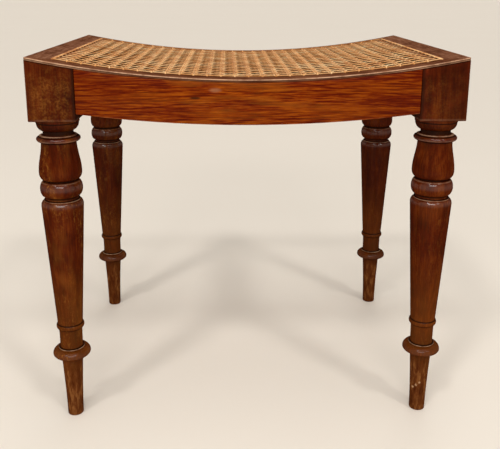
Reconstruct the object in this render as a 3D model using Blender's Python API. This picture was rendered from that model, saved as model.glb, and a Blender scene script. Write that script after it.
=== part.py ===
"""Dressing stool: four turned legs, four rails, a dished and mitred seat frame, and a caned seat.

The stool is modelled upright, +Z up, in metres. The origin is on the floor under the middle of the
seat, +X runs along the long side and -Y is the front. Every piece of the seat follows one curve,
dish_height(x), which is a circular arc along X and straight along Y.
"""

import math

import bmesh
import bpy

# Overall sizes, in metres.
WIDTH = 0.500
DEPTH = 0.380
SEAT_HEIGHT = 0.460
DISH_SAG = 0.025
# Gap that two touching pieces keep.
FIT = 0.0003

# Square block at the top of each leg.
BLOCK_SIDE = 0.054
BLOCK_HEIGHT = 0.073

# Turned part of a leg, from the block down. The tapered shaft takes the height that is left.
COLLAR_RADIUS = 0.0252
COLLAR_HEIGHT = 0.004
OVOLO_HEIGHT = 0.0095
NECK_RADIUS = 0.0176
NECK_HEIGHT = 0.005
RING_RADIUS = 0.0254
RING_HEIGHT = 0.0066
RING_FILLET_RADIUS = 0.0220
RING_FILLET_HEIGHT = 0.0018
VASE_TOP_RADIUS = 0.0204
VASE_RADIUS = 0.0250
VASE_HEIGHT = 0.0460
VASE_FOOT_HEIGHT = 0.0090
GROOVE_RADIUS = 0.0195
GROOVE_HEIGHT = 0.0012
BEAD_RADIUS = 0.0249
BEAD_HEIGHT = 0.0195
SHAFT_GROOVE_HEIGHT = 0.0034
SHAFT_LIP_RADIUS = 0.0212
SHAFT_LIP_HEIGHT = 0.0016
SHAFT_SHOULDER_HEIGHT = 0.0064
SHAFT_TOP_RADIUS = 0.0248
SHAFT_FOOT_RADIUS = 0.0153

# Turned part of a leg, from the floor up.
FOOT_RADIUS = 0.0098
FOOT_ARRIS = 0.0012
FOOT_HEIGHT = 0.0822
ANKLE_RADIUS = 0.0132
ANKLE_CURVE = 1.5
KNOP_RADIUS = 0.0232
KNOP_LOWER_HEIGHT = 0.0050
KNOP_UPPER_HEIGHT = 0.0070
KNOP_FILLET_RADIUS = 0.0160
KNOP_FILLET_HEIGHT = 0.0018
LOWER_NECK_RADIUS = 0.0139
LOWER_NECK_TOP_RADIUS = 0.0148
LOWER_NECK_HEIGHT = 0.0255
SMALL_BEAD_RADIUS = 0.0170
SMALL_BEAD_HEIGHT = 0.0064

# Rails and their tenons.
RAIL_THICKNESS = 0.018
RAIL_SETBACK = 0.0004
FRONT_RAIL_DEPTH = 0.0485
FRONT_RAIL_BOTTOM_SAG = 0.0128
SIDE_RAIL_DEPTH = 0.053
TENON_SHOULDER = 0.005
TENON_LENGTH = 0.024
MORTISE_PLAY = 0.001

# Seat frame: a thin lip over the rails and a thicker body inside them.
FRAME_WIDTH = 0.040
FRAME_THICKNESS = 0.012
LIP_THICKNESS = 0.0032
FRAME_INNER_CHAMFER = 0.0015

# Cane holes, binder and woven panel.
CANE_MARGIN = 0.024
BINDER_WIDTH = 0.005
BINDER_THICKNESS = 0.0013
HOLE_DIAMETER = 0.0046
HOLES_ALONG = 28
HOLES_ACROSS = 18
PANEL_THICKNESS = 0.0016
PANEL_BAND = 0.0110
PANEL_GAPS_ALONG = 18
PANEL_GAPS_ACROSS = 14

# Facets.
LATHE_STEPS = 20
DISH_STEPS = 18
BLOCK_STEPS = 2
HOLE_STEPS = 6
QUARTER_STEPS = 3
FOOT_STEPS = 4
VASE_STEPS = 5
NOSE_STEPS = 4

# Worked out from the sizes above.
HALF_WIDTH = WIDTH / 2
HALF_DEPTH = DEPTH / 2
SEAT_BED = LIP_THICKNESS + FIT
HOLE_LINE = CANE_MARGIN + BINDER_WIDTH / 2
RAIL_INNER = RAIL_SETBACK + RAIL_THICKNESS
RAIL_REACH_X = HALF_WIDTH - BLOCK_SIDE - FIT
RAIL_REACH_Y = HALF_DEPTH - BLOCK_SIDE - FIT
SIDES = ((-1, "left"), (1, "right"))
ENDS = ((-1, "front"), (1, "back"))


def arc_rise(x, half, sag):
    """Height above its lowest point, at x, of an arc with that sag over that half width."""
    radius = (half**2 + sag**2) / (2 * sag)
    return radius - math.sqrt(radius**2 - x**2)


def dish_height(x):
    """Height of the seat's top surface at x."""
    return SEAT_HEIGHT - DISH_SAG + arc_rise(x, HALF_WIDTH, DISH_SAG)


def front_rail_bottom(x):
    """Height of the lower edge of the front and back rails at x."""
    middle = dish_height(0) - SEAT_BED - FRONT_RAIL_DEPTH
    return middle + arc_rise(x, RAIL_REACH_X, FRONT_RAIL_BOTTOM_SAG)


def side_rail_bottom(x):
    """Height of the straight lower edge of the side rails."""
    return SEAT_HEIGHT - SEAT_BED - SIDE_RAIL_DEPTH


def seat_bed(x):
    """Height of the tops of rails and blocks, on which the frame's lip lies."""
    return dish_height(x) - SEAT_BED


def frame_underside(x):
    """Height of what lies just under the frame's thicker body."""
    return dish_height(x) - FRAME_THICKNESS - FIT


def clear_scene():
    """Takes away whatever the scene holds."""
    for obj in list(bpy.data.objects):
        bpy.data.objects.remove(obj, do_unlink=True)


def make_material(name, colour, roughness, coat=0.0):
    """A Principled material with that colour and roughness."""
    material = bpy.data.materials.new(name)
    material.use_nodes = True
    shader = material.node_tree.nodes["Principled BSDF"]
    shader.inputs["Base Color"].default_value = (*colour, 1.0)
    shader.inputs["Roughness"].default_value = roughness
    shader.inputs["Metallic"].default_value = 0.0
    shader.inputs["Coat Weight"].default_value = coat
    return material


def face_out(bm):
    """Turns every face of a closed mesh to point out of it, also on a thin piece that is bent."""
    bmesh.ops.recalc_face_normals(bm, faces=bm.faces)
    if bm.calc_volume(signed=True) < 0:
        bmesh.ops.reverse_faces(bm, faces=bm.faces)


def make_object(name, bm, material, parent, location=(0, 0, 0), smooth=True):
    """An object named name, from the mesh in bm, at that location under parent."""
    face_out(bm)
    mesh = bpy.data.meshes.new(name)
    bm.to_mesh(mesh)
    bm.free()
    if smooth:
        mesh.shade_smooth()
        mesh.set_sharp_from_angle(angle=math.radians(32))
    mesh.materials.append(material)
    obj = bpy.data.objects.new(name, mesh)
    bpy.context.scene.collection.objects.link(obj)
    obj.parent = parent
    obj.location = location
    return obj


def make_helper(name, bm, material, parent, location=(0, 0, 0)):
    """A wire object that is only cut from, or joined to, another one."""
    helper = make_object(name, bm, material, parent, location)
    helper.hide_render = True
    helper.display_type = "WIRE"
    return helper


def combine(obj, other, operation):
    """Adds a Boolean of other to obj."""
    boolean = obj.modifiers.new(operation.title(), "BOOLEAN")
    boolean.operation = operation
    boolean.solver = "EXACT"
    boolean.object = other


def sweep(section, steps, place):
    """A closed bar: the (u, v) outline, drawn from s = -1 to s = 1, with place(s, u, v) applied."""
    bm = bmesh.new()
    outline = [bm.verts.new((-1.0, u, v)) for u, v in section]
    face = bm.faces.new(outline)
    drawn = bmesh.ops.extrude_face_region(bm, geom=[face])
    moved = [item for item in drawn["geom"] if isinstance(item, bmesh.types.BMVert)]
    bmesh.ops.translate(bm, verts=moved, vec=(2.0, 0.0, 0.0))
    for step in range(1, steps):
        everything = bm.verts[:] + bm.edges[:] + bm.faces[:]
        station = (-1 + 2 * step / steps, 0, 0)
        bmesh.ops.bisect_plane(bm, geom=everything, plane_co=station, plane_no=(1, 0, 0), dist=1e-6)
    for vert in bm.verts:
        vert.co = place(*vert.co)
    return bm


def prism(low_x, high_x, low_y, high_y, bottom, top, steps=1):
    """A block between two heights that are functions of x, in steps along X."""

    def place(s, u, v):
        x = low_x + (high_x - low_x) * (s + 1) / 2
        y = low_y + (high_y - low_y) * u
        return x, y, bottom(x) + (top(x) - bottom(x)) * v

    return sweep(((0, 0), (1, 0), (1, 1), (0, 1)), steps, place)


def level(height):
    """A height that is the same at every x."""
    return lambda x: height


def ordered(first, second):
    """The two numbers, smaller first."""
    return min(first, second), max(first, second)


def add_tenons(bm, axis):
    """Insets the two end faces across axis by the shoulder and draws them out into tenons."""
    for sign in (-1, 1):
        bm.faces.ensure_lookup_table()
        end = max(bm.faces, key=lambda face: sign * face.calc_center_median()[axis])
        bmesh.ops.inset_region(bm, faces=[end], thickness=TENON_SHOULDER, use_even_offset=True)
        drawn = bmesh.ops.extrude_face_region(bm, geom=[end])
        moved = [item for item in drawn["geom"] if isinstance(item, bmesh.types.BMVert)]
        reach = [0.0, 0.0, 0.0]
        reach[axis] = sign * TENON_LENGTH
        bmesh.ops.translate(bm, verts=moved, vec=reach)
        bmesh.ops.delete(bm, geom=[end], context="FACES_ONLY")


def quarter(from_radius, from_height, to_radius, to_height, bulge, steps=QUARTER_STEPS):
    """Points of a quarter ellipse, without its first. With bulge it leaves straight down, else level."""
    points = []
    for step in range(1, steps + 1):
        turn = math.pi / 2 * step / steps
        if bulge:
            across, down = 1 - math.cos(turn), math.sin(turn)
        else:
            across, down = math.sin(turn), 1 - math.cos(turn)
        radius = from_radius + (to_radius - from_radius) * across
        points.append((radius, from_height + (to_height - from_height) * down))
    return points


def rounded(top, height, edge_radius, radius, steps=2):
    """Points of a half-round turned member, from its upper edge to its lower one."""
    middle = top - height / 2
    points = [(edge_radius, top)]
    points += quarter(edge_radius, top, radius, middle, False, steps)
    points += quarter(radius, middle, edge_radius, top - height, True, steps)
    return points


def vase_points(top):
    """Points of the vase: a bell that opens downwards, then turns in to the groove."""
    belly = top - VASE_HEIGHT + VASE_FOOT_HEIGHT
    points = []
    for step in range(VASE_STEPS + 1):
        share = step / VASE_STEPS
        swell = (1 - math.cos(math.pi * share)) / 2
        radius = VASE_TOP_RADIUS + (VASE_RADIUS - VASE_TOP_RADIUS) * swell
        points.append((radius, top + (belly - top) * share))
    points += quarter(VASE_RADIUS, belly, GROOVE_RADIUS, top - VASE_HEIGHT, True)
    return points


def upper_turning(block_bottom):
    """Points from the collar under the block down to the top of the tapered shaft."""
    points = [(COLLAR_RADIUS, block_bottom), (COLLAR_RADIUS, block_bottom - COLLAR_HEIGHT)]
    height = block_bottom - COLLAR_HEIGHT
    points += quarter(COLLAR_RADIUS, height, NECK_RADIUS, height - OVOLO_HEIGHT, True)
    height -= OVOLO_HEIGHT + NECK_HEIGHT
    points.append((NECK_RADIUS, height))
    points.append((RING_FILLET_RADIUS, height - RING_FILLET_HEIGHT))
    height -= RING_FILLET_HEIGHT
    points += rounded(height, RING_HEIGHT, RING_FILLET_RADIUS, RING_RADIUS)[1:]
    height -= RING_HEIGHT
    points += vase_points(height)
    height -= VASE_HEIGHT + GROOVE_HEIGHT
    points += rounded(height, BEAD_HEIGHT, GROOVE_RADIUS, BEAD_RADIUS, QUARTER_STEPS)
    height -= BEAD_HEIGHT + SHAFT_GROOVE_HEIGHT
    points.append((GROOVE_RADIUS, height))
    points.append((SHAFT_LIP_RADIUS, height))
    height -= SHAFT_LIP_HEIGHT
    points.append((SHAFT_LIP_RADIUS, height))
    shaft_top = height - SHAFT_SHOULDER_HEIGHT
    points += quarter(SHAFT_LIP_RADIUS, height, SHAFT_TOP_RADIUS, shaft_top, False)
    return points


def lower_turning():
    """Points from the foot of the tapered shaft down to the middle of the foot's sole."""
    knop_middle = FOOT_HEIGHT + KNOP_LOWER_HEIGHT
    knop_top = knop_middle + KNOP_UPPER_HEIGHT
    neck = knop_top + KNOP_FILLET_HEIGHT
    bead = neck + LOWER_NECK_HEIGHT
    points = [(SHAFT_FOOT_RADIUS, bead + SMALL_BEAD_HEIGHT)]
    bead_top = bead + SMALL_BEAD_HEIGHT
    points += rounded(bead_top, SMALL_BEAD_HEIGHT, SHAFT_FOOT_RADIUS, SMALL_BEAD_RADIUS)[1:-1]
    points += [(LOWER_NECK_TOP_RADIUS, bead), (LOWER_NECK_RADIUS, neck)]
    points += [(KNOP_FILLET_RADIUS, neck), (KNOP_FILLET_RADIUS, knop_top)]
    points += quarter(KNOP_FILLET_RADIUS, knop_top, KNOP_RADIUS, knop_middle, False)
    points += quarter(KNOP_RADIUS, knop_middle, ANKLE_RADIUS, FOOT_HEIGHT, True)
    arris = FOOT_ARRIS
    for step in range(1, FOOT_STEPS + 1):
        share = step / FOOT_STEPS
        radius = FOOT_RADIUS + (ANKLE_RADIUS - FOOT_RADIUS) * (1 - share) ** ANKLE_CURVE
        points.append((radius, FOOT_HEIGHT + (arris - FOOT_HEIGHT) * share))
    points += [(FOOT_RADIUS - arris, 0.0), (0.0, 0.0)]
    return points


def turned_solid(block_bottom):
    """The whole turned part of a leg, which reaches into the block by the collar's height."""
    inside = block_bottom + COLLAR_HEIGHT
    points = [(0.0, inside), (COLLAR_RADIUS, inside)]
    points += upper_turning(block_bottom)[1:]
    points += lower_turning()
    bm = bmesh.new()
    verts = [bm.verts.new((radius, 0.0, height)) for radius, height in points]
    edges = [bm.edges.new(pair) for pair in zip(verts, verts[1:])]
    bmesh.ops.spin(
        bm, geom=verts + edges, cent=(0, 0, 0), axis=(0, 0, 1), dvec=(0, 0, 0),
        angle=2 * math.pi, steps=LATHE_STEPS, use_merge=True,
    )
    bmesh.ops.remove_doubles(bm, verts=bm.verts, dist=1e-6)
    return bm


def long_rail_mortise(side, end):
    """The hole in a leg block for the tenon of the front or back rail."""
    margin = TENON_SHOULDER - MORTISE_PLAY / 2
    depth = TENON_LENGTH + MORTISE_PLAY / 2
    inner = HALF_WIDTH - BLOCK_SIDE
    outer = HALF_DEPTH - RAIL_SETBACK
    low_x, high_x = ordered(side * (inner - 2 * FIT), side * (inner + depth))
    low_y, high_y = ordered(end * (outer - margin), end * (outer - RAIL_THICKNESS + margin))
    low = level(front_rail_bottom(RAIL_REACH_X) + margin)
    high = level(seat_bed(RAIL_REACH_X) - margin)
    return prism(low_x, high_x, low_y, high_y, low, high)


def side_rail_mortise(side, end):
    """The hole in a leg block for the tenon of the left or right rail."""
    margin = TENON_SHOULDER - MORTISE_PLAY / 2
    depth = TENON_LENGTH + MORTISE_PLAY / 2
    inner = HALF_DEPTH - BLOCK_SIDE
    outer = HALF_WIDTH - RAIL_SETBACK
    low_x, high_x = ordered(side * (outer - margin), side * (outer - RAIL_THICKNESS + margin))
    low_y, high_y = ordered(end * (inner - 2 * FIT), end * (inner + depth))
    low = level(side_rail_bottom(0) + margin)
    return prism(low_x, high_x, low_y, high_y, low, lambda x: seat_bed(x) - margin)


def frame_notch(side, end):
    """The corner of a leg block that makes room for the frame's thicker body."""
    past = BLOCK_SIDE * 5 / 4
    low_x, high_x = ordered(side * (HALF_WIDTH - RAIL_INNER), side * (HALF_WIDTH - past))
    low_y, high_y = ordered(end * (HALF_DEPTH - RAIL_INNER), end * (HALF_DEPTH - past))
    above = level(SEAT_HEIGHT + BLOCK_SIDE / 4)
    return prism(low_x, high_x, low_y, high_y, frame_underside, above, BLOCK_STEPS)


def leg_recess(side, end, leg_x, leg_y):
    """What is cut from a leg block, two mortises and the notch, as one mesh round the leg's axis."""
    whole = bmesh.new()
    for make in (long_rail_mortise, side_rail_mortise, frame_notch):
        body = make(side, end)
        face_out(body)
        part = bpy.data.meshes.new("recess")
        body.to_mesh(part)
        body.free()
        whole.from_mesh(part)
        bpy.data.meshes.remove(part)
    bmesh.ops.translate(whole, verts=whole.verts, vec=(-leg_x, -leg_y, 0.0))
    return whole


def build_leg(side, side_name, end, end_name, wood, parent):
    """One leg: the square block with its joinery, and the turned part below it."""
    leg_x = side * (HALF_WIDTH - BLOCK_SIDE / 2)
    leg_y = end * (HALF_DEPTH - BLOCK_SIDE / 2)
    half = BLOCK_SIDE / 2
    bottom = SEAT_HEIGHT - BLOCK_HEIGHT
    name = f"leg_{end_name}_{side_name}"
    place = (leg_x, leg_y, 0.0)
    block = prism(-half, half, -half, half, level(bottom), lambda x: seat_bed(leg_x + x), BLOCK_STEPS)
    leg = make_object(name, block, wood, parent, place)
    turned = make_helper(f"{name}_turning", turned_solid(bottom), wood, parent, place)
    recess = make_helper(f"{name}_recess", leg_recess(side, end, leg_x, leg_y), wood, parent, place)
    combine(leg, turned, "UNION")
    combine(leg, recess, "DIFFERENCE")
    return leg


def build_long_rail(end, end_name, wood, parent):
    """The front or back rail, sawn to the dish above and to a flatter arc below."""
    outer = HALF_DEPTH - RAIL_SETBACK
    low_y, high_y = ordered(end * outer, end * (outer - RAIL_THICKNESS))
    low_x, high_x = -RAIL_REACH_X, RAIL_REACH_X
    bm = prism(low_x, high_x, low_y, high_y, front_rail_bottom, seat_bed, DISH_STEPS)
    add_tenons(bm, 0)
    return make_object(f"rail_{end_name}", bm, wood, parent)


def build_side_rail(side, side_name, wood, parent):
    """The left or right rail, straight along Y, with its top sloped to the dish."""
    outer = HALF_WIDTH - RAIL_SETBACK
    low_x, high_x = ordered(side * outer, side * (outer - RAIL_THICKNESS))
    bm = prism(low_x, high_x, -RAIL_REACH_Y, RAIL_REACH_Y, side_rail_bottom, seat_bed)
    add_tenons(bm, 1)
    return make_object(f"rail_{side_name}", bm, wood, parent)


def frame_section():
    """Outline of a frame member: distance in from the outer edge, and height over the seat's surface."""
    nose = LIP_THICKNESS / 2
    body = RAIL_INNER + FIT
    chamfer = FRAME_INNER_CHAMFER
    points = []
    for step in range(NOSE_STEPS + 1):
        turn = math.pi * step / NOSE_STEPS
        points.append((nose - nose * math.sin(turn), -nose + nose * math.cos(turn)))
    points += [(body, -LIP_THICKNESS), (body, -FRAME_THICKNESS), (FRAME_WIDTH, -FRAME_THICKNESS)]
    points += [(FRAME_WIDTH, -chamfer), (FRAME_WIDTH - chamfer, 0.0), (body, 0.0)]
    return points


def long_member(section, end):
    """A piece along X at the front or back, mitred at its ends, which follows the dish."""

    def place(s, inset, height):
        x = s * (HALF_WIDTH - inset - FIT)
        return x, end * (HALF_DEPTH - inset), dish_height(x) + height

    return sweep(section, DISH_STEPS, place)


def side_member(section, side):
    """A piece along Y at the left or right, mitred at its ends, under the same dish."""

    def place(s, inset, height):
        x = side * (HALF_WIDTH - inset)
        return x, s * (HALF_DEPTH - inset - FIT), dish_height(x) + height

    return sweep(section, 1, place)


def hole_cutter(points):
    """Upright pins at those (x, y) points, which drill the cane holes."""
    bm = bmesh.new()
    for x, y in points:
        made = bmesh.ops.create_cone(
            bm, cap_ends=True, segments=HOLE_STEPS, radius1=HOLE_DIAMETER / 2,
            radius2=HOLE_DIAMETER / 2, depth=3 * FRAME_THICKNESS,
        )
        middle = dish_height(x) - FRAME_THICKNESS / 2
        bmesh.ops.translate(bm, verts=made["verts"], vec=(x, y, middle))
    return bm


def hole_row(half, count):
    """Positions of the holes along one side. The mitre cuts through the one in each corner."""
    pitch = 2 * half / count
    return [-half + pitch * step for step in range(count + 1)]


def build_frame(wood, parent):
    """The four mitred members of the seat frame, drilled for the cane."""
    half_x = HALF_WIDTH - HOLE_LINE
    half_y = HALF_DEPTH - HOLE_LINE
    section = frame_section()
    for end, end_name in ENDS:
        holes = [(x, end * half_y) for x in hole_row(half_x, HOLES_ALONG)]
        member = make_object(f"frame_{end_name}", long_member(section, end), wood, parent)
        drill = make_helper(f"frame_{end_name}_holes", hole_cutter(holes), wood, parent)
        combine(member, drill, "DIFFERENCE")
    for side, side_name in SIDES:
        holes = [(side * half_x, y) for y in hole_row(half_y, HOLES_ACROSS)]
        member = make_object(f"frame_{side_name}", side_member(section, side), wood, parent)
        drill = make_helper(f"frame_{side_name}_holes", hole_cutter(holes), wood, parent)
        combine(member, drill, "DIFFERENCE")


def build_binder(cane, parent):
    """The four flat strips of binding cane that cover the holes."""
    low, high = FIT, FIT + BINDER_THICKNESS
    inner = CANE_MARGIN + BINDER_WIDTH
    section = ((CANE_MARGIN, low), (inner, low), (inner, high), (CANE_MARGIN, high))
    for end, end_name in ENDS:
        make_object(f"binder_{end_name}", long_member(section, end), cane, parent)
    for side, side_name in SIDES:
        make_object(f"binder_{side_name}", side_member(section, side), cane, parent)


def build_cane_panel(cane, parent):
    """The woven seat as one open net: bands both ways round square gaps, laid on the dish."""
    inset = CANE_MARGIN + BINDER_WIDTH + FIT
    half_x = HALF_WIDTH - inset
    half_y = HALF_DEPTH - inset
    bm = bmesh.new()
    bmesh.ops.create_grid(bm, x_segments=PANEL_GAPS_ALONG, y_segments=PANEL_GAPS_ACROSS, size=1.0)
    for vert in bm.verts:
        vert.co.x *= half_x
        vert.co.y *= half_y
    cells = bm.faces[:]
    bmesh.ops.inset_individual(bm, faces=cells, thickness=PANEL_BAND / 2, use_even_offset=True)
    bmesh.ops.delete(bm, geom=cells, context="FACES")
    bands = bm.faces[:]
    drawn = bmesh.ops.extrude_face_region(bm, geom=bands, use_keep_orig=True)
    raised = [item for item in drawn["geom"] if isinstance(item, bmesh.types.BMVert)]
    bmesh.ops.translate(bm, verts=raised, vec=(0, 0, PANEL_THICKNESS))
    for vert in bm.verts:
        vert.co.z += dish_height(vert.co.x) + FIT
    return make_object("cane_panel", bm, cane, parent, smooth=False)


def build_stool():
    """Every piece of the stool, under one empty at the origin."""
    stool = bpy.data.objects.new("dressing_stool", None)
    bpy.context.scene.collection.objects.link(stool)
    leg_wood = make_material("polished_mahogany", (0.105, 0.028, 0.010), 0.28, 0.4)
    rail_wood = make_material("figured_mahogany", (0.255, 0.070, 0.014), 0.30, 0.4)
    frame_wood = make_material("seat_frame_mahogany", (0.165, 0.075, 0.040), 0.35, 0.3)
    cane = make_material("golden_cane", (0.560, 0.330, 0.130), 0.55)
    for end, end_name in ENDS:
        for side, side_name in SIDES:
            build_leg(side, side_name, end, end_name, leg_wood, stool)
        build_long_rail(end, end_name, rail_wood, stool)
    for side, side_name in SIDES:
        build_side_rail(side, side_name, rail_wood, stool)
    build_frame(frame_wood, stool)
    build_cane_panel(cane, stool)
    build_binder(cane, stool)


def main():
    clear_scene()
    build_stool()


main()
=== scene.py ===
"""Looks of the dressing stool: turned legs, streaked rails, a dished seat frame and six-way caning.

Every piece is built at the origin in metres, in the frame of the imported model: +X along the long
side of the seat, -Y to the front, +Z up, with the floor at z = 0. An axis is 0 for X and 1 for Y.
"""

import logging
import math
import random
from collections.abc import Callable, Iterator, Sequence
from dataclasses import dataclass
from enum import Enum

import bmesh
import bpy
from bmesh.types import BMesh
from bpy.types import Material, Object
from mathutils import Matrix, Vector

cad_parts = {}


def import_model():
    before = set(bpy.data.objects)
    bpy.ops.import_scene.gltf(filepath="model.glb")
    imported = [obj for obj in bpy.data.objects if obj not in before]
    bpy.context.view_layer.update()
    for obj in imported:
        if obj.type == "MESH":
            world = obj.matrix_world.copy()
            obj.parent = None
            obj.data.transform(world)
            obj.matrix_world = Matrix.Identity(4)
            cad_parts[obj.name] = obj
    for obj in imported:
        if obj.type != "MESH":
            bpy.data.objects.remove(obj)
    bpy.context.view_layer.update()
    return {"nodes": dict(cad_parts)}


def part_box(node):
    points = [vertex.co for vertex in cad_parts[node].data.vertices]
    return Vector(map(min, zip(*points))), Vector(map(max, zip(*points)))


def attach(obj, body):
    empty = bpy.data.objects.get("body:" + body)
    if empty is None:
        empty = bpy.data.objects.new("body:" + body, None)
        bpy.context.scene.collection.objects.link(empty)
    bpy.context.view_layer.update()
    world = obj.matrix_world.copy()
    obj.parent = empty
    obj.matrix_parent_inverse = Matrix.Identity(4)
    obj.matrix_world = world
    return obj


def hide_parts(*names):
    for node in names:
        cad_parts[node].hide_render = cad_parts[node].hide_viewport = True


LOG = logging.getLogger("dressing_stool")

Point2 = tuple[float, float]
Point3 = tuple[float, float, float]
Colour = tuple[float, float, float]
Bands = tuple[Point3, ...]


# Sizes that several sub-assemblies share


def arc_radius(reach: float, sag: float) -> float:
    """Radius of a circular arc that has risen by sag at reach."""
    return (reach**2 + sag**2) / (2 * sag)


def arc(x: float, reach: float, sag: float) -> float:
    """Rise at x of a circular arc that has risen by sag at reach."""
    radius = arc_radius(reach, sag)
    return radius - math.sqrt(radius**2 - x**2)


def ease(share: float) -> float:
    """A change from 0 to 1 that starts and ends level."""
    return (1 - math.cos(math.pi * share)) / 2


def plan(axis: int, run: float, aside: float) -> Point2:
    """X and Y of a place so far along an axis and so far aside from it."""
    return (run, aside) if axis == 0 else (aside, run)


def direction(axis: int) -> Vector:
    """Unit vector along an axis."""
    return Vector((*plan(axis, 1, 0), 0))


@dataclass(frozen=True)
class Seat:
    """The seat's outline, its cane holes and its dip, a circular arc along X."""

    half: Point2 = (0.250, 0.190)
    holes: tuple[int, int] = (28, 18)
    hole_inset: float = 0.0265
    height: float = 0.460
    sag: float = 0.025
    fit: float = 0.0003
    lip: float = 0.0032
    body: float = 0.012
    frame_width: float = 0.040

    def reach(self, axis: int) -> float:
        """Distance along an axis from the middle to the last hole."""
        return self.half[axis] - self.hole_inset

    def pitch(self, axis: int) -> float:
        """Distance between holes along an axis."""
        return 2 * self.reach(axis) / self.holes[axis]

    def hole(self, axis: int, number: float) -> float:
        """Where a hole lies along an axis, counted from the left or the front."""
        return self.pitch(axis) * number - self.reach(axis)

    def top(self, x: float) -> float:
        """Height of the seat's surface at x."""
        return self.height - self.sag + arc(x, self.half[0], self.sag)

    def bed(self, x: float) -> float:
        """Height of the tops of rails and blocks at x."""
        return self.top(x) - self.lip - self.fit

    def underside(self, x: float) -> float:
        """Height of the underside of the frame's thicker body at x."""
        return self.top(x) - self.body

    def rim(self, axis: int, sign: int, run: float, over: float = 0.0) -> Vector:
        """The point so far along the row of holes on one side and so high over the surface."""
        x, y = plan(axis, run, sign * self.reach(1 - axis))
        return Vector((x, y, self.top(x) + over))


@dataclass(frozen=True)
class Joinery:
    """Sizes of the leg blocks, the rails and their joints."""

    block: float = 0.054
    block_height: float = 0.073
    rail: float = 0.018
    setback: float = 0.0004
    front_depth: float = 0.0485
    front_sag: float = 0.0128
    side_depth: float = 0.053
    shoulder: float = 0.005
    tenon: float = 0.024
    play: float = 0.001


SEAT = Seat()
JOINERY = Joinery()
BLOCK_BOTTOM = SEAT.height - JOINERY.block_height
SEAT_SIDES = ((0, -1, "front"), (0, 1, "back"), (1, -1, "left"), (1, 1, "right"))


def rail_bottom(x: float) -> float:
    """Height of the lower edge of the front and back rails at x."""
    reach = SEAT.half[0] - JOINERY.block - SEAT.fit
    return SEAT.bed(0) - JOINERY.front_depth + arc(x, reach, JOINERY.front_sag)


# Materials


class Value:
    """A number in a node tree. Arithmetic on it adds Math nodes."""

    def __init__(self, tree: "Tree", socket: bpy.types.NodeSocket) -> None:
        """Wraps the output that gives the number."""
        self.tree = tree
        self.socket = socket

    def _math(self, operation: str, *numbers: "Value | float") -> "Value":
        """The result of one Math node."""
        node = self.tree.add("ShaderNodeMath", {"operation": operation}, dict(enumerate(numbers)))
        return Value(self.tree, node.outputs[0])

    def __add__(self, other: "Value | float") -> "Value":
        """The sum."""
        return self._math("ADD", self, other)

    __radd__ = __add__

    def __sub__(self, other: "Value | float") -> "Value":
        """The difference."""
        return self._math("SUBTRACT", self, other)

    def __rsub__(self, other: float) -> "Value":
        """The difference from a plain number."""
        return self._math("SUBTRACT", other, self)

    def __mul__(self, other: "Value | float") -> "Value":
        """The product."""
        return self._math("MULTIPLY", self, other)

    __rmul__ = __mul__

    def __pow__(self, other: float) -> "Value":
        """The power."""
        return self._math("POWER", self, other)

    def __abs__(self) -> "Value":
        """The size without its sign."""
        return self._math("ABSOLUTE", self)

    def least(self, other: "Value | float") -> "Value":
        """The smaller of the two."""
        return self._math("MINIMUM", self, other)

    def most(self, other: "Value | float") -> "Value":
        """The larger of the two."""
        return self._math("MAXIMUM", self, other)

    def fade(self, start: float, end: float) -> "Value":
        """A smooth step from 0 at start to 1 at end, whichever is the smaller."""
        settings, inputs = {"interpolation_type": "SMOOTHSTEP"}, {0: self, 1: start, 2: end}
        return Value(self.tree, self.tree.add("ShaderNodeMapRange", settings, inputs).outputs[0])


Input = Value | bpy.types.NodeSocket | float | Sequence[float]


class Tree:
    """A node tree, to which one method adds every node."""

    def __init__(self, tree: bpy.types.NodeTree) -> None:
        """Takes a tree and what it starts with."""
        self.tree = tree

    def add(
        self, kind: str, settings: dict[str, object] | None = None,
        inputs: dict[int | str, Input] | None = None,
    ) -> bpy.types.Node:
        """Adds one node.

        Args:
            kind: The node's type.
            settings: Its own settings.
            inputs: What its sockets hold, by name or number.

        Returns:
            The node.
        """
        node = self.tree.nodes.new(kind)
        for key, value in (settings or {}).items():
            setattr(node, key, value)
        for key, value in (inputs or {}).items():
            self.feed(node.inputs[key], value)
        return node

    def feed(self, socket: bpy.types.NodeSocket, value: Input) -> None:
        """Links or sets an input.

        Args:
            socket: The input.
            value: A link's source or a plain value.
        """
        if isinstance(value, Value):
            self.tree.links.new(value.socket, socket)
        elif isinstance(value, bpy.types.NodeSocket):
            self.tree.links.new(value, socket)
        elif socket.type == "RGBA" and len(value) == 3:
            socket.default_value = (*value, 1.0)
        else:
            socket.default_value = value


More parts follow.
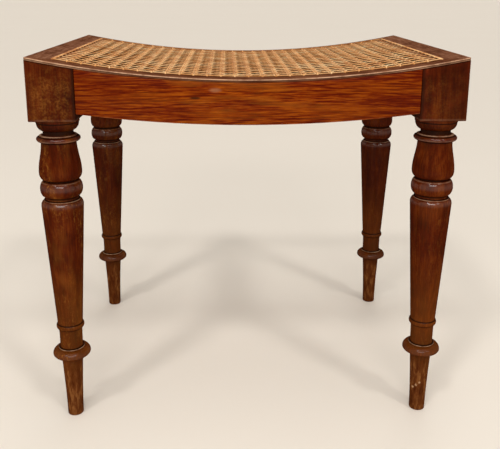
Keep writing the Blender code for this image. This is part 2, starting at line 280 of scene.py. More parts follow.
class Nodes(Tree):
    """A material whose Principled shader is fed by nodes."""

    def __init__(self, name: str) -> None:
        """Makes the material, with the place on the piece as three numbers.

        Args:
            name: Its name.
        """
        self.material = bpy.data.materials.new(name)
        self.material.use_nodes = True
        super().__init__(self.material.node_tree)
        self.shader = self.tree.nodes["Principled BSDF"]
        self.place = self.add("ShaderNodeTexCoord").outputs["Object"]
        split = self.add("ShaderNodeSeparateXYZ", None, {0: self.place})
        self.x, self.y, self.z = (Value(self, output) for output in split.outputs)

    def stretched(self, scale: Point3, shift: Point3) -> bpy.types.NodeSocket:
        """The place on the piece, with each axis stretched and then shifted."""
        inputs = {"Vector": self.place, "Scale": scale, "Location": shift}
        return self.add("ShaderNodeMapping", None, inputs).outputs[0]

    def noise(
        self, scale: float | Point3, detail: float = 3.0, rough: float = 0.5, warp: float = 0.0,
        shift: Point3 = (0.0, 0.0, 0.0),
    ) -> Value:
        """A cloudy pattern.

        Args:
            scale: How fine it is, on all axes or on each.
            detail: How many finer layers lie on it.
            rough: How strong those layers are.
            warp: How twisted it is.
            shift: Where it is read from, if each axis has its own scale.

        Returns:
            A number about 0.5.
        """
        place = self.place
        if isinstance(scale, tuple):
            place, scale = self.stretched(scale, shift), 1.0
        inputs = {"Vector": place, "Scale": scale, "Detail": detail}
        inputs |= {"Roughness": rough, "Distortion": warp}
        return Value(self, self.add("ShaderNodeTexNoise", None, inputs).outputs[0])

    def attribute(self, name: str) -> Value:
        """A number that the mesh keeps at each vertex."""
        node = self.add("ShaderNodeAttribute", {"attribute_name": name})
        return Value(self, node.outputs["Fac"])

    def near(self, point: Point3, stretch: Point3) -> Value:
        """Distance from a point.

        Args:
            point: The point.
            stretch: How much each axis is stretched.

        Returns:
            The distance in metres.
        """
        place = self.stretched(stretch, tuple(-p * s for p, s in zip(point, stretch)))
        node = self.add("ShaderNodeVectorMath", {"operation": "LENGTH"}, {0: place})
        return Value(self, node.outputs["Value"])

    def rims(self, start: float, end: float) -> tuple[Value, Value]:
        """Steps on X and on Y, 0 at one distance in from the seat's edge and 1 at the other."""
        x, y = SEAT.half
        return abs(self.x).fade(x - start, x - end), abs(self.y).fade(y - start, y - end)

    def shaded_inside(self) -> Value:
        """1 behind the inner faces of the rails, and 0 elsewhere: the inside under the seat, which the
        woods darken with grime and painted shade and leave unpolished.
        """
        depth = JOINERY.setback + JOINERY.rail - 0.0010
        return math.prod(self.rims(depth, depth + 0.0008))

    def over_seat(self) -> Value:
        """Height over the curved surface of the seat.

        Returns:
            The height in metres, below 0 under the surface.
        """
        radius = arc_radius(SEAT.half[0], SEAT.sag)
        square = self.x * self.x
        rise = square * (1 / (2 * radius)) + square * square * (1 / (8 * radius**3))
        return self.z - rise - (SEAT.height - SEAT.sag)

    def ramp(self, value: Value, *stops: tuple[float, Colour]) -> bpy.types.NodeSocket:
        """A colour that follows a number.

        Args:
            value: The number.
            *stops: Pairs of a position and a colour.

        Returns:
            A colour socket.
        """
        node = self.add("ShaderNodeValToRGB", None, {0: value})
        elements = node.color_ramp.elements
        while len(elements) < len(stops):
            elements.new(1.0)
        for element, (position, colour) in zip(elements, stops):
            element.position = position
            element.color = (*colour, 1.0)
        return node.outputs[0]

    def layers(self, colour: Input, *layers: tuple[Value | float, Input]) -> Input:
        """A colour with others laid over it in turn.

        Args:
            colour: The lowest colour.
            *layers: Pairs of a share and the colour laid on by it.

        Returns:
            A colour socket.
        """
        for share, upper in layers:
            inputs = {0: share, 6: colour, 7: upper}
            colour = self.add("ShaderNodeMix", {"data_type": "RGBA"}, inputs).outputs[2]
        return colour

    def bump(self, height: Value, distance: float) -> None:
        """Lets a height pattern tilt the surface, with 1 standing for a distance."""
        inputs = {"Height": height, "Distance": distance, "Strength": 0.6}
        self.feed(self.shader.inputs["Normal"], self.add("ShaderNodeBump", None, inputs).outputs[0])

    def finish(
        self, colour: Input, roughness: Input, sheen: float, coat: Input = 0.0,
        coat_roughness: float = 0.2,
    ) -> None:
        """Sets the shader.

        Args:
            colour: Base colour.
            roughness: Roughness.
            sheen: Level of the surface's own reflection.
            coat: Weight of the polish.
            coat_roughness: Roughness of the polish.
        """
        sockets = {
            "Base Color": colour, "Roughness": roughness, "Specular IOR Level": sheen,
            "Coat Weight": coat, "Coat Roughness": coat_roughness,
        }
        for name, value in sockets.items():
            self.feed(self.shader.inputs[name], value)


class Grain(Enum):
    """The axis that the wood's fibres follow."""

    X = 0
    Y = 1
    Z = 2

    def stretch(self, along: float, across: float) -> Point3:
        """Factors for a pattern drawn out along the fibres."""
        return tuple(along if axis == self.value else across for axis in range(3))


def srgb(red: float, green: float, blue: float) -> Colour:
    """A colour of 0 to 255 numbers, as the shader wants it."""
    parts = (red / 255, green / 255, blue / 255)
    return tuple(part / 12.92 if part <= 0.04 else ((part + 0.055) / 1.055) ** 2.4 for part in parts)


@dataclass(frozen=True)
class Wood:
    """A polished wood with streaked figure, pores, soft clouds and its own tones."""

    nodes: Nodes
    grain: Grain
    dark: Colour
    middle: Colour
    light: Colour
    worn: Colour
    broad: float
    fine: float
    cloud: float
    pore: float
    roughness: float
    coat: float
    coat_roughness: float
    band: float = 110.0
    rim: float = 1.3
    # Near black, for old polish and grime in quirks and joints, and for painted shade inside the seat,
    # under the frame's lip, under the block and in the frame's quirk.
    grime_and_shade: Colour = srgb(26, 9, 3)

    def base(self) -> tuple[Input, Value, Value]:
        """The wood's colour before local wear.

        Returns:
            The colour, the streaked figure about 0.5 that made it, and the relief.
        """
        nodes, stretch = self.nodes, self.grain.stretch
        bands = nodes.noise(stretch(7.0, self.band), 3.0, 0.55, 0.3)
        lines = nodes.noise(stretch(34.0, 560.0), 3.0, 0.6, 0.1)
        cloudy = nodes.noise(30.0, 4.0, 0.6, 0.4)
        figure = (bands - 0.5) * (1.6 * self.broad) + (lines - 0.5) * (2.0 * self.fine)
        figure = figure + (cloudy - 0.5) * (1.8 * self.cloud) + 0.5
        pores = nodes.noise(stretch(95.0, 1150.0), 2.0).fade(0.54, 0.70)
        colour = nodes.ramp(figure, (0.22, self.dark), (0.50, self.middle), (0.80, self.light))
        return nodes.layers(colour, (pores * self.pore, self.dark)), figure, figure * 0.4 - pores * 0.5

    def polish(
        self, colour: Input, roughness: Value, bare: Value, relief: Value, extra: Value | float = 0.0
    ) -> Material:
        """Sets the shader and the grain's relief. The polish shows least where the wood turns away.

        Args:
            colour: Its colour.
            roughness: Its roughness.
            bare: 1 where there is no polish.
            relief: The grain's relief.
            extra: What is added to the weight of the polish.

        Returns:
            The material.
        """
        weight = self.nodes.add("ShaderNodeLayerWeight", None, {"Blend": 0.5})
        facing = Value(self.nodes, weight.outputs["Facing"])
        coat = (1 - bare) * (extra + self.coat) * (1 - facing) ** self.rim
        self.nodes.finish(colour, roughness, 0.0, coat, self.coat_roughness)
        self.nodes.bump(relief, 0.00006)
        return self.nodes.material


# Mesh helpers


def sweep(section: Sequence[Point2], steps: int, place: Callable[[float, float, float], Point3]) -> BMesh:
    """Draws a section out into a closed bar and shapes it.

    Args:
        section: The (u, v) outline.
        steps: Number of stations along the bar.
        place: Turns (s, u, v) with s from -1 to 1 into a point.

    Returns:
        The mesh, with its faces outwards.
    """
    bm = bmesh.new()
    face = bm.faces.new([bm.verts.new((-1.0, u, v)) for u, v in section])
    drawn = bmesh.ops.extrude_face_region(bm, geom=[face])
    moved = [item for item in drawn["geom"] if isinstance(item, bmesh.types.BMVert)]
    bmesh.ops.translate(bm, verts=moved, vec=(2.0, 0.0, 0.0))
    for step in range(1, steps):
        everything = bm.verts[:] + bm.edges[:] + bm.faces[:]
        station = (-1 + 2 * step / steps, 0, 0)
        bmesh.ops.bisect_plane(bm, geom=everything, plane_co=station, plane_no=(1, 0, 0), dist=1e-6)
    for vert in bm.verts:
        vert.co = place(*vert.co)
    face_out(bm)
    return bm


def face_out(bm: BMesh) -> None:
    """Turns every face of a closed mesh to point outwards.

    Args:
        bm: The mesh.
    """
    bmesh.ops.recalc_face_normals(bm, faces=bm.faces)
    if bm.calc_volume(signed=True) < 0:
        bmesh.ops.reverse_faces(bm, faces=bm.faces)


def prism(
    x: Point2, y: Point2, bottom: Callable[[float], float], top: Callable[[float], float], steps: int = 1
) -> BMesh:
    """A block between two heights that are functions of x.

    Args:
        x: Its ends along X, in either order.
        y: Its ends along Y, in either order.
        bottom: Height of its underside at x.
        top: Height of its top at x.
        steps: Number of stations along X.

    Returns:
        The mesh.
    """
    (left, right), (near, far) = sorted(x), sorted(y)

    def place(s: float, u: float, v: float) -> Point3:
        """The point of the block."""
        along = left + (right - left) * (s + 1) / 2
        return along, near + (far - near) * u, bottom(along) * (1 - v) + top(along) * v

    return sweep(((0, 0), (1, 0), (1, 1), (0, 1)), steps, place)


def level(height: float) -> Callable[[float], float]:
    """A height that is the same at every x."""
    return lambda x: height


def arris(
    bm: BMesh, width: float, chosen: Callable[[bmesh.types.BMEdge], bool], segments: int = 2
) -> None:
    """Takes the sharpness off chosen edges.

    Args:
        bm: The mesh.
        width: How far the round reaches.
        chosen: Says which edges.
        segments: Steps of the round.
    """
    sharp = 0.6
    edges = [
        edge for edge in bm.edges
        if edge.is_manifold and edge.calc_face_angle() > sharp and chosen(edge)
    ]
    bmesh.ops.bevel(
        bm, geom=edges, offset=width, offset_type="OFFSET", affect="EDGES", segments=segments,
        profile=0.5, material=-1, clamp_overlap=True,
    )


def shade(mesh: bpy.types.Mesh, crisp: float) -> None:
    """Smooths a mesh but for edges sharper than so many degrees."""
    mesh.shade_smooth()
    mesh.set_sharp_from_angle(angle=math.radians(crisp))


def link(name: str, data: bpy.types.ID) -> Object:
    """An object in the scene that holds a mesh, a lamp or a camera.

    Args:
        name: The object's name.
        data: What it holds.

    Returns:
        The object.
    """
    obj = bpy.data.objects.new(name, data)
    bpy.context.scene.collection.objects.link(obj)
    return obj


def to_object(name: str, bm: BMesh, crisp: float = 35.0) -> Object:
    """An object that holds the mesh.

    Args:
        name: The object's name.
        bm: The mesh, which is freed.
        crisp: Edges sharper than this many degrees stay crisp.

    Returns:
        The object.
    """
    mesh = bpy.data.meshes.new(name)
    bm.to_mesh(mesh)
    bm.free()
    shade(mesh, crisp)
    return link(name, mesh)


class Cut(Enum):
    """What a helper mesh does to a piece."""

    JOIN = "UNION"
    REMOVE = "DIFFERENCE"
    KEEP = "INTERSECT"


def carve(obj: Object, crisp: float, *tools: tuple[BMesh, Cut]) -> None:
    """Joins or cuts meshes with an object and keeps only the result.

    Args:
        obj: The object.
        crisp: Edges sharper than this many degrees stay crisp.
        *tools: Pairs of a mesh and what it does, in order.
    """
    helpers = []
    for number, (bm, cut) in enumerate(tools):
        helpers.append(to_object(f"{obj.name}_tool_{number}", bm))
        boolean = obj.modifiers.new(cut.value.title(), "BOOLEAN")
        boolean.operation = cut.value
        boolean.solver = "EXACT"
        boolean.object = helpers[-1]
    bpy.context.view_layer.update()
    shaped = bpy.data.meshes.new_from_object(obj.evaluated_get(bpy.context.evaluated_depsgraph_get()))
    obj.modifiers.clear()
    spent = [obj.data] + [helper.data for helper in helpers]
    obj.data = shaped
    for helper in helpers:
        bpy.data.objects.remove(helper)
    for mesh in spent:
        bpy.data.meshes.remove(mesh)
    shaped.name = obj.name
    shade(shaped, crisp)


def place_piece(obj: Object, material: Material, slot: str, *nodes: str) -> None:
    """Dresses a finished piece and puts it on the stool.

    Args:
        obj: The piece.
        material: Its finish.
        slot: The record's material slot; not used.
        *nodes: The solids that it stands for.
    """
    obj.data.materials.clear()
    obj.data.materials.append(material)
    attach(obj, "root")
    if nodes:
        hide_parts(*nodes)
    LOG.info("%s: %d faces", obj.name, len(obj.data.polygons))


# Legs


@dataclass(frozen=True)
class LegWood(Wood):
    """Dark polished mahogany with golden flecks, worn pale on a few turned edges. Painted shade darkens
    the back legs, the inside under the seat, the turning under the block and a line under the frame's
    lip.
    """

    worn_bands: Bands = ()
    dark_bands: Bands = ()
    shine_bands: Bands = ()
    golden: Colour = srgb(140, 86, 30)
    reddish: Colour = srgb(122, 40, 14)
    chipped: Colour = srgb(206, 166, 124)

    def make(self) -> Material:
        """Dresses the legs.

        Returns:
            The material.
        """
        nodes = self.nodes
        x, y, z = nodes.x, nodes.y, nodes.z
        colour, figure, relief = self.base()
        block = z.fade(BLOCK_BOTTOM - 0.004, BLOCK_BOTTOM + 0.004)
        red = nodes.noise((34.0, 34.0, 23.8), 4.0, 0.6, 0.3, (102.0, 34.0, 136.0)).fade(0.46, 0.66)
        foot = z.fade(0.082, 0.060)
        scuffs = nodes.noise((200.0, 200.0, 55.0), 4.0, 0.65, 0.2)
        tones = srgb(62, 24, 6), srgb(92, 48, 20), srgb(150, 98, 52)
        bare = nodes.ramp(scuffs, *zip((0.34, 0.52, 0.74), tones))
        right = x.fade(-0.10, 0.10) * 0.42 + 0.08
        far_right = x.fade(0.212, 0.236) * (red * 0.3 + 0.7) * 0.62
        # Inner faces of the blocks under the seat: grime and painted shade, and no polish.
        shaded_inside = nodes.shaded_inside() * block
        colour = nodes.layers(
            colour, (block * 0.20, self.dark), (red * block * right, self.reddish),
            (self.mottle() * block, self.golden), (far_right * block, self.dark),
            (self.flecks() * (1 - block), self.golden), (z.fade(0.24, 0.12) * 0.16, self.golden),
            # Painted shade: the back legs darker, and the inner faces under the seat near black.
            (y.fade(-0.05, 0.10) * 0.34, self.dark), (foot * 0.8, bare), (shaded_inside * 0.8, self.grime_and_shade),
            (self.grooves_and_shade() * 0.85, self.grime_and_shade), (self.arrises(), self.worn),
            (self.chips(), self.chipped),
        )
        rough = (figure - 0.5) * 0.10 + self.roughness + foot * 0.25
        shine = self.bands(self.shine_bands, 0.0).least(1.0)
        return self.polish(colour, rough, shaded_inside.most(foot * 0.6), relief, shine)

    def bands(self, bands: Bands, core: float) -> Value:
        """Level bands round the leg, such as lines of wear.

        Args:
            bands: Height, half width and strength of each.
            core: Share of the half width that is at full strength.

        Returns:
            Their sum.
        """
        total: Value | float = 0.0
        for height, width, strength in bands:
            total = abs(self.nodes.z - height).fade(width, width * core) * strength + total
        return total

    def mottle(self) -> Value:
        """Golden mottling where the polish of the blocks has thinned, strongest on the left one in front.

        Returns:
            A number from 0 to 1.
        """
        nodes = self.nodes
        cloud = nodes.noise(60.0, 5.0, 0.72, 0.2).fade(0.36, 0.64)
        spots = nodes.noise(420.0, 3.0, 0.7).fade(0.38, 0.62)
        edge = abs(abs(nodes.x) - (SEAT.half[0] - JOINERY.block / 2)).fade(0.029, 0.017)
        front_left = nodes.x.fade(0.05, -0.15) * nodes.y.fade(0.02, -0.10)
        top = nodes.over_seat().fade(-0.004, -0.026)
        return cloud * (spots * 0.8 + 0.2) * (front_left * 0.28 + 0.14) * edge * (top * 0.6 + 0.4)

    def flecks(self) -> Value:
        """Short upright golden flecks on the turning.

        Returns:
            A number from 0 to 1.
        """
        noise = self.nodes.noise
        short = noise((330.0, 330.0, 85.0), 3.0, 0.6, 0.3).fade(0.56, 0.72)
        cloud = noise((42.0, 42.0, 17.0), 3.0, 0.6, 0.4).fade(0.42, 0.66)
        soft = noise((60.0, 60.0, 20.0), 2.0, 0.5, 0.2, (4.0, 1.0, 2.0)).fade(0.45, 0.75)
        grain = noise((520.0, 520.0, 330.0), 3.0, 0.7, 0.0, (1.0, 5.0, 3.0)).fade(0.50, 0.68)
        left = self.nodes.x.fade(0.10, -0.18) * 0.7 + 0.3
        return (short * cloud * 0.62 + soft * 0.20 + grain * cloud * 0.34).least(1.0) * left

    def arrises(self) -> Value:
        """Pale broken lines on turned edges, and fainter ones on the outer edges of the blocks.

        Returns:
            A number from 0 to 1.
        """
        broken = self.nodes.noise(70.0, 4.0, 0.7).fade(0.34, 0.58)
        corner = math.prod(self.nodes.rims(0.0012, 0.0004))
        low = abs(self.nodes.z - BLOCK_BOTTOM - 0.0012).fade(0.0022, 0.0006)
        lines = self.bands(self.worn_bands, 0.35) + corner * 0.30 + low * 0.10
        return lines.least(1.0) * (broken * 0.65 + 0.2)

    def grooves_and_shade(self) -> Value:
        """Dark old polish in the quirks of the turning and at the joints of the block, painted shade on
        the neck, the collar and the ovolo under the block, and a painted shadow along the block's top
        under the frame's lip.

        Returns:
            A number from 0 to 1.
        """
        joint = SEAT.half[0] - JOINERY.block
        block = self.nodes.z.fade(BLOCK_BOTTOM, BLOCK_BOTTOM + 0.002)
        inner = abs(self.nodes.x).fade(joint + 0.0056, joint + 0.0010)
        # Painted shadow along the block's top, under the frame's lip.
        top = self.nodes.over_seat().fade(-0.0048, -0.0036)
        return (self.bands(self.dark_bands, 0.2) + (inner + top) * block * 0.8).least(1.0)

    def chips(self) -> Value:
        """Three small pale chips on the front right foot.

        Returns:
            A number from 0 to 1.
        """
        total: Value | float = 0.0
        for point in ((0.2214, -0.1739, 0.0414), (0.2176, -0.1726, 0.0373), (0.2142, -0.1700, 0.0331)):
            total = self.nodes.near(point, (1.0, 0.5, 0.75)).fade(0.0019, 0.0005) + total
        ragged = self.nodes.noise(900.0, 3.0, 0.6).fade(0.40, 0.56)
        return total.least(1.0) * (ragged * 0.8 + 0.2) * 0.8


class Profile:
    """The outline of a turning, from the top down, as pairs of a radius and a height."""

    def __init__(self, height: float, *points: Point2) -> None:
        """Starts the outline.

        Args:
            height: Height that the first member is set out from.
            *points: Its first points.
        """
        self.height = height
        self.points = list(points)
        self.marks: dict[str, float] = {}

    def drop(self, member: str, height: float) -> float:
        """Comes to the foot of a member.

        Args:
            member: The member.
            height: How tall it is.

        Returns:
            Height of its lower edge, which is kept under its name.
        """
        self.height -= height
        self.marks[member] = self.height
        return self.height

    def quarter(self, radius: float, height: float, bulge: bool, steps: int = 8) -> None:
        """Goes on through a quarter of an ellipse.

        Args:
            radius: Radius where it ends.
            height: Height where it ends.
            bulge: True if it leaves straight down, else it leaves level.
            steps: How many points.
        """
        first, top = self.points[-1]
        for step in range(1, steps + 1):
            turn = math.pi / 2 * step / steps
            bend, run = 1 - math.cos(turn), math.sin(turn)
            across, down = (bend, run) if bulge else (run, bend)
            self.points.append((first + (radius - first) * across, top + (height - top) * down))

    def half_round(self, member: str, edge: float, radius: float, height: float, steps: int = 7) -> None:
        """Goes on through a half-round member.

        Args:
            member: Its name.
            edge: Radius at its edges.
            radius: Radius at its middle.
            height: How tall it is.
            steps: Points of each quarter.
        """
        self.points.append((edge, self.height))
        self.quarter(radius, self.height - height / 2, False, steps)
        self.quarter(edge, self.drop(member, height), True, steps)

    def taper(
        self, first: float, last: float, low: float, steps: int, shape: Callable[[float], float]
    ) -> None:
        """Goes on to a height while the radius follows a curve.

        Args:
            first: Radius where shape gives 0.
            last: Radius where it gives 1.
            low: Height where it ends.
            steps: How many points.
            shape: Turns the share of the way into that of the change.
        """
        top = self.height
        for step in range(steps + 1):
            share = step / steps
            self.points.append((first + (last - first) * shape(share), top + (low - top) * share))


@dataclass
class Leg:
    """A turned leg: the square block with its joinery, and the turning below it.

    The members follow from the block down, most of them as a radius and a height.
    """

    side: int
    end: int
    name: str
    lathe_steps: int = 96
    arris: float = 0.0013
    collar: Point2 = (0.0252, 0.004)
    collar_arris: float = 0.0007
    ovolo: float = 0.0095
    neck: Point2 = (0.0176, 0.005)
    ring_fillet: Point2 = (0.0220, 0.0018)
    fillet_arris: float = 0.0004
    ring_quirk: float = 0.0006
    ring: Point2 = (0.0254, 0.0066)
    vase_top: float = 0.0204
    vase: Point2 = (0.0250, 0.0460)
    vase_foot: float = 0.0090
    groove: Point2 = (0.0195, 0.0012)
    bead: Point2 = (0.0249, 0.0195)
    shaft_groove: float = 0.0034
    lip: Point2 = (0.0212, 0.0016)
    lip_arris: float = 0.0003
    shaft_top: Point2 = (0.0248, 0.0064)
    shaft_foot: float = 0.0153
    small_bead: Point2 = (0.0170, 0.0064)
    lower_neck: Point3 = (0.0148, 0.0139, 0.0255)
    neck_ease: Point2 = (0.0006, 0.004)
    knop_fillet: Point2 = (0.0160, 0.0018)
    knop: Point3 = (0.0232, 0.0070, 0.0050)
    foot: Point3 = (0.0132, 0.0098, 0.0822)
    ankle_curve: float = 1.5
    foot_arris: float = 0.0012
    sharp_top: float = 0.012

    @property
    def axis(self) -> Point2:
        """Where the leg's axis stands."""
        half = JOINERY.block / 2
        return self.side * (SEAT.half[0] - half), self.end * (SEAT.half[1] - half)

    def profile(self) -> Profile:
        """The outline of the turning, which reaches into the block.

        Returns:
            The outline, closed on the axis at both ends, with the heights of its members.
        """
        radius, tall = self.collar
        inside, edge = BLOCK_BOTTOM + tall, BLOCK_BOTTOM - tall + self.collar_arris
        line = Profile(BLOCK_BOTTOM, (0.0, inside), (radius, inside), (radius, edge))
        line.quarter(radius - self.collar_arris, line.drop("collar", tall), True, 3)
        line.quarter(self.neck[0], line.drop("ovolo", self.ovolo), True)
        top = line.drop("neck", self.neck[1])
        (fillet, tall), soft = self.ring_fillet, self.fillet_arris
        line.points += [(self.neck[0], top), (fillet - soft, top - tall * 0.45)]
        line.points += [(fillet, top - tall * 0.6), (fillet, line.drop("fillet", tall))]
        line.half_round("ring", fillet - self.ring_quirk, *self.ring)
        belly = line.height - self.vase[1] + self.vase_foot
        line.taper(self.vase_top, self.vase[0], belly, 16, ease)
        line.quarter(self.groove[0], line.drop("vase", self.vase[1]), True)
        line.drop("groove", self.groove[1])
        line.half_round("bead", self.groove[0], *self.bead, 16)
        top, lip, soft = line.drop("shaft groove", self.shaft_groove), self.lip[0], self.lip_arris
        line.points += [(self.groove[0], top), (lip - soft, top), (lip, top - soft)]
        line.points.append((lip, line.drop("lip", self.lip[1])))
        line.quarter(self.shaft_top[0], line.height - self.shaft_top[1], False, 14)
        self.lower(line)
        return line

    def lower(self, line: Profile) -> None:
        """Carries the outline on from the small bead at the foot of the shaft to the sole.

        Args:
            line: The outline so far.
        """
        heights = (self.foot[2], self.knop[2], self.knop[1], self.knop_fillet[1], self.lower_neck[2])
        line.height = sum(heights) + self.small_bead[1]
        line.drop("shaft", 0.0)
        line.half_round("small bead", self.shaft_foot, *self.small_bead)
        neck, soft = self.lower_neck[0], self.lip_arris
        line.points[-1] = (neck, line.height)
        line.points.append((neck - self.neck_ease[0], line.height - self.neck_ease[1]))
        top = line.drop("lower neck", self.lower_neck[2])
        line.quarter(self.lower_neck[1], top, False, 5)
        fillet = self.knop_fillet[0]
        line.points += [(fillet - soft, top), (fillet, top - soft)]
        line.points.append((fillet, line.drop("knop fillet", self.knop_fillet[1])))
        line.quarter(self.knop[0], line.drop("knop top", self.knop[1]), False, 14)
        line.quarter(self.foot[0], line.drop("knop", self.knop[2]), True, 10)
        line.points.pop()
        ankle, sole, _ = self.foot
        line.taper(sole, ankle, self.foot_arris, 14, lambda share: (1 - share) ** self.ankle_curve)
        line.quarter(sole - self.foot_arris, 0.0, True, 4)
        line.points.append((0.0, 0.0))

    def turning(self) -> BMesh:
        """The turned part.

        Returns:
            A closed mesh.
        """
        bm = bmesh.new()
        verts = [bm.verts.new((radius, 0.0, height)) for radius, height in self.profile().points]
        edges = [bm.edges.new(pair) for pair in zip(verts, verts[1:])]
        bmesh.ops.spin(
            bm, geom=verts + edges, cent=(0, 0, 0), axis=(0, 0, 1), dvec=(0, 0, 0),
            angle=2 * math.pi, steps=self.lathe_steps, use_merge=True,
        )
        bmesh.ops.remove_doubles(bm, verts=bm.verts, dist=1e-6)
        bmesh.ops.translate(bm, verts=bm.verts, vec=(*self.axis, 0.0))
        face_out(bm)
        return bm

    def block(self) -> BMesh:
        """The square block, its top cut to the dip and its arrises eased.

        Returns:
            The mesh.
        """
        x, y = self.axis
        half, top = JOINERY.block / 2, SEAT.bed(x) - self.sharp_top
        bm = prism((x - half, x + half), (y - half, y + half), level(BLOCK_BOTTOM), SEAT.bed, 4)
        arris(bm, self.arris, lambda edge: min(vert.co.z for vert in edge.verts) < top, 3)
        return bm

    def recesses(self) -> Iterator[BMesh]:
        """What is cut out of the block.

        Returns:
            The two mortises and the notch for the frame's body.
        """
        side, end, past, fit = self.side, self.end, 2 * SEAT.fit, SEAT.fit
        margin, depth = JOINERY.shoulder - JOINERY.play / 2, JOINERY.tenon + JOINERY.play / 2
        inner_x, inner_y = (half - JOINERY.block for half in SEAT.half)
        outer_x, outer_y = (half - JOINERY.setback for half in SEAT.half)
        yield prism(
            (side * (inner_x - past), side * (inner_x + depth)),
            (end * (outer_y - margin), end * (outer_y - JOINERY.rail + margin)),
            level(rail_bottom(inner_x - fit) + margin), level(SEAT.bed(inner_x - fit) - margin),
        )
        yield prism(
            (side * (outer_x - margin), side * (outer_x - JOINERY.rail + margin)),
            (end * (inner_y - past), end * (inner_y + depth)),
            level(SEAT.height - SEAT.lip - fit - JOINERY.side_depth + margin),
            lambda x: SEAT.bed(x) - margin,
        )
        insets = (JOINERY.setback + JOINERY.rail, JOINERY.block * 5 / 4)
        yield prism(
            tuple(side * (SEAT.half[0] - inset) for inset in insets),
            tuple(end * (SEAT.half[1] - inset) for inset in insets),
            lambda x: SEAT.underside(x) - fit, level(SEAT.height + 0.01), 4,
        )

    def build(self, material: Material) -> None:
        """Makes the leg.

        Args:
            material: Its finish.
        """
        obj = to_object(f"turned_{self.name}", self.block())
        recesses = ((recess, Cut.REMOVE) for recess in self.recesses())
        carve(obj, 30.0, (self.turning(), Cut.JOIN), *recesses)
        place_piece(obj, material, "leg_mahogany", self.name)

    def finish(self) -> Material:
        """The finish of the legs, with its lines of wear and of old polish at the turned members, and
        bands of painted shade under the block.

        Returns:
            The material.
        """
        at = self.profile().marks
        worn = (
            (at["fillet"] + 0.0011, 0.0005, 0.6), (at["ring"] + 0.0022, 0.0009, 0.2),
            (at["groove"] - 0.0014, 0.0009, 0.22), (at["lip"] + 0.0006, 0.0007, 0.5),
            (at["knop fillet"] + 0.0012, 0.0006, 0.8),
        )
        # Dark bands: old polish in the quirks, and painted shade under the block on the neck, the collar
        # and the ovolo.
        dark = (
            (at["neck"] + self.neck[1] / 2, 0.0040, 1.0), (at["fillet"] - 0.0002, 0.0009, 1.0),
            (at["ring"], 0.0018, 1.0), (at["vase"], 0.0024, 1.0), (at["bead"], 0.0022, 1.0),
            (at["shaft groove"], 0.0008, 1.0), (at["small bead"], 0.0014, 1.0),
            (at["shaft"], 0.0012, 1.0), (at["lower neck"], 0.0012, 1.0), (at["knop"], 0.0026, 1.0),
            (at["collar"], 0.0014, 1.0), (at["ovolo"] + 0.003, 0.0090, 0.55),
        )
        shine = (
            (at["fillet"] - self.ring[1] / 2, 0.0040, 0.55),
            (at["groove"] - self.bead[1] * 0.34, 0.0058, 0.90),
            (at["lip"] - 0.0030, 0.0046, 0.90), (at["knop top"] + 0.0010, 0.0080, 0.32),
        )
        tones = srgb(40, 8, 0), srgb(70, 19, 1), srgb(104, 44, 8), srgb(196, 156, 124)
        return LegWood(
            Nodes("polished_mahogany"), Grain.Z, *tones, broad=0.30, fine=0.28, cloud=0.40, pore=0.35,
            roughness=0.30, coat=0.10, coat_roughness=0.155, worn_bands=worn, dark_bands=dark,
            shine_bands=shine,
        ).make()


# Rails


@dataclass(frozen=True)
class RailWood(Wood):
    """Orange brown streaked mahogany, with a dark mark and a pale smudge on the front rail. A painted
    shadow runs along the top under the frame's lip, and grime and painted shade darken the inner faces.
    """

    front: bool = False
    golden: Colour = srgb(158, 88, 18)
    marked: Colour = srgb(40, 16, 6)
    smudged: Colour = srgb(170, 120, 84)

    def make(self) -> Material:
        """Dresses a rail.

        Returns:
            The material.
        """
        nodes, stretch = self.nodes, self.grain.stretch
        colour, figure, relief = self.base()
        glow = nodes.noise(stretch(6.0, 60.0), 2.0, 0.5, 0.3, (3.1, 0.4, 7.7)).fade(0.50, 0.72)
        dim = nodes.noise(stretch(14.0, 150.0), 3.0, 0.6, 0.4, (9.0, 2.0, 1.0)).fade(0.52, 0.72)
        colour = nodes.layers(colour, (glow * 0.40, self.light), (dim * 0.42, self.dark))
        if self.front:
            ends = abs(nodes.x).fade(0.05, 0.17)
            warm = nodes.noise((16.0, 60.0, 120.0), 3.0, 0.6, 0.3, (2.0, 7.0, 5.0)).fade(0.46, 0.66)
            mark = nodes.near((-0.0612, -0.1896, 0.4143), (1.0, 0.2, 4.0)).fade(0.0085, 0.0030)
            smudge = nodes.near((-0.0384, -0.1896, 0.4230), (1.0, 0.2, 2.6)).fade(0.0095, 0.0020)
            colour = nodes.layers(
                colour, (ends * 0.22, self.dark), ((1 - ends) * warm * 0.28, self.golden),
                (mark * 0.8, self.marked), (smudge * 0.40, self.smudged), (self.lower_edge(), self.worn),
            )
        # Painted shadow along the top edge under the frame's lip, and grime and painted shade with no
        # polish on the inner faces under the seat.
        shaded_inside = nodes.shaded_inside()
        top = nodes.over_seat().fade(-0.0046, -0.0038)
        colour = nodes.layers(colour, (top * 0.15, self.grime_and_shade), (shaded_inside * 0.86, self.grime_and_shade))
        return self.polish(colour, (figure - 0.5) * 0.12 + self.roughness, shaded_inside, relief)

    def lower_edge(self) -> Value:
        """A pale line of wear along the curved lower edge.

        Returns:
            A number from 0 to 1.
        """
        middle = rail_bottom(0)
        reach = SEAT.half[0] - JOINERY.block
        bend = (rail_bottom(reach) - middle) / reach**2
        line = self.nodes.z - self.nodes.x * self.nodes.x * bend - middle
        broken = self.nodes.noise(55.0, 4.0, 0.7).fade(0.35, 0.65)
        return line.fade(0.0014, 0.0003) * broken * 0.35


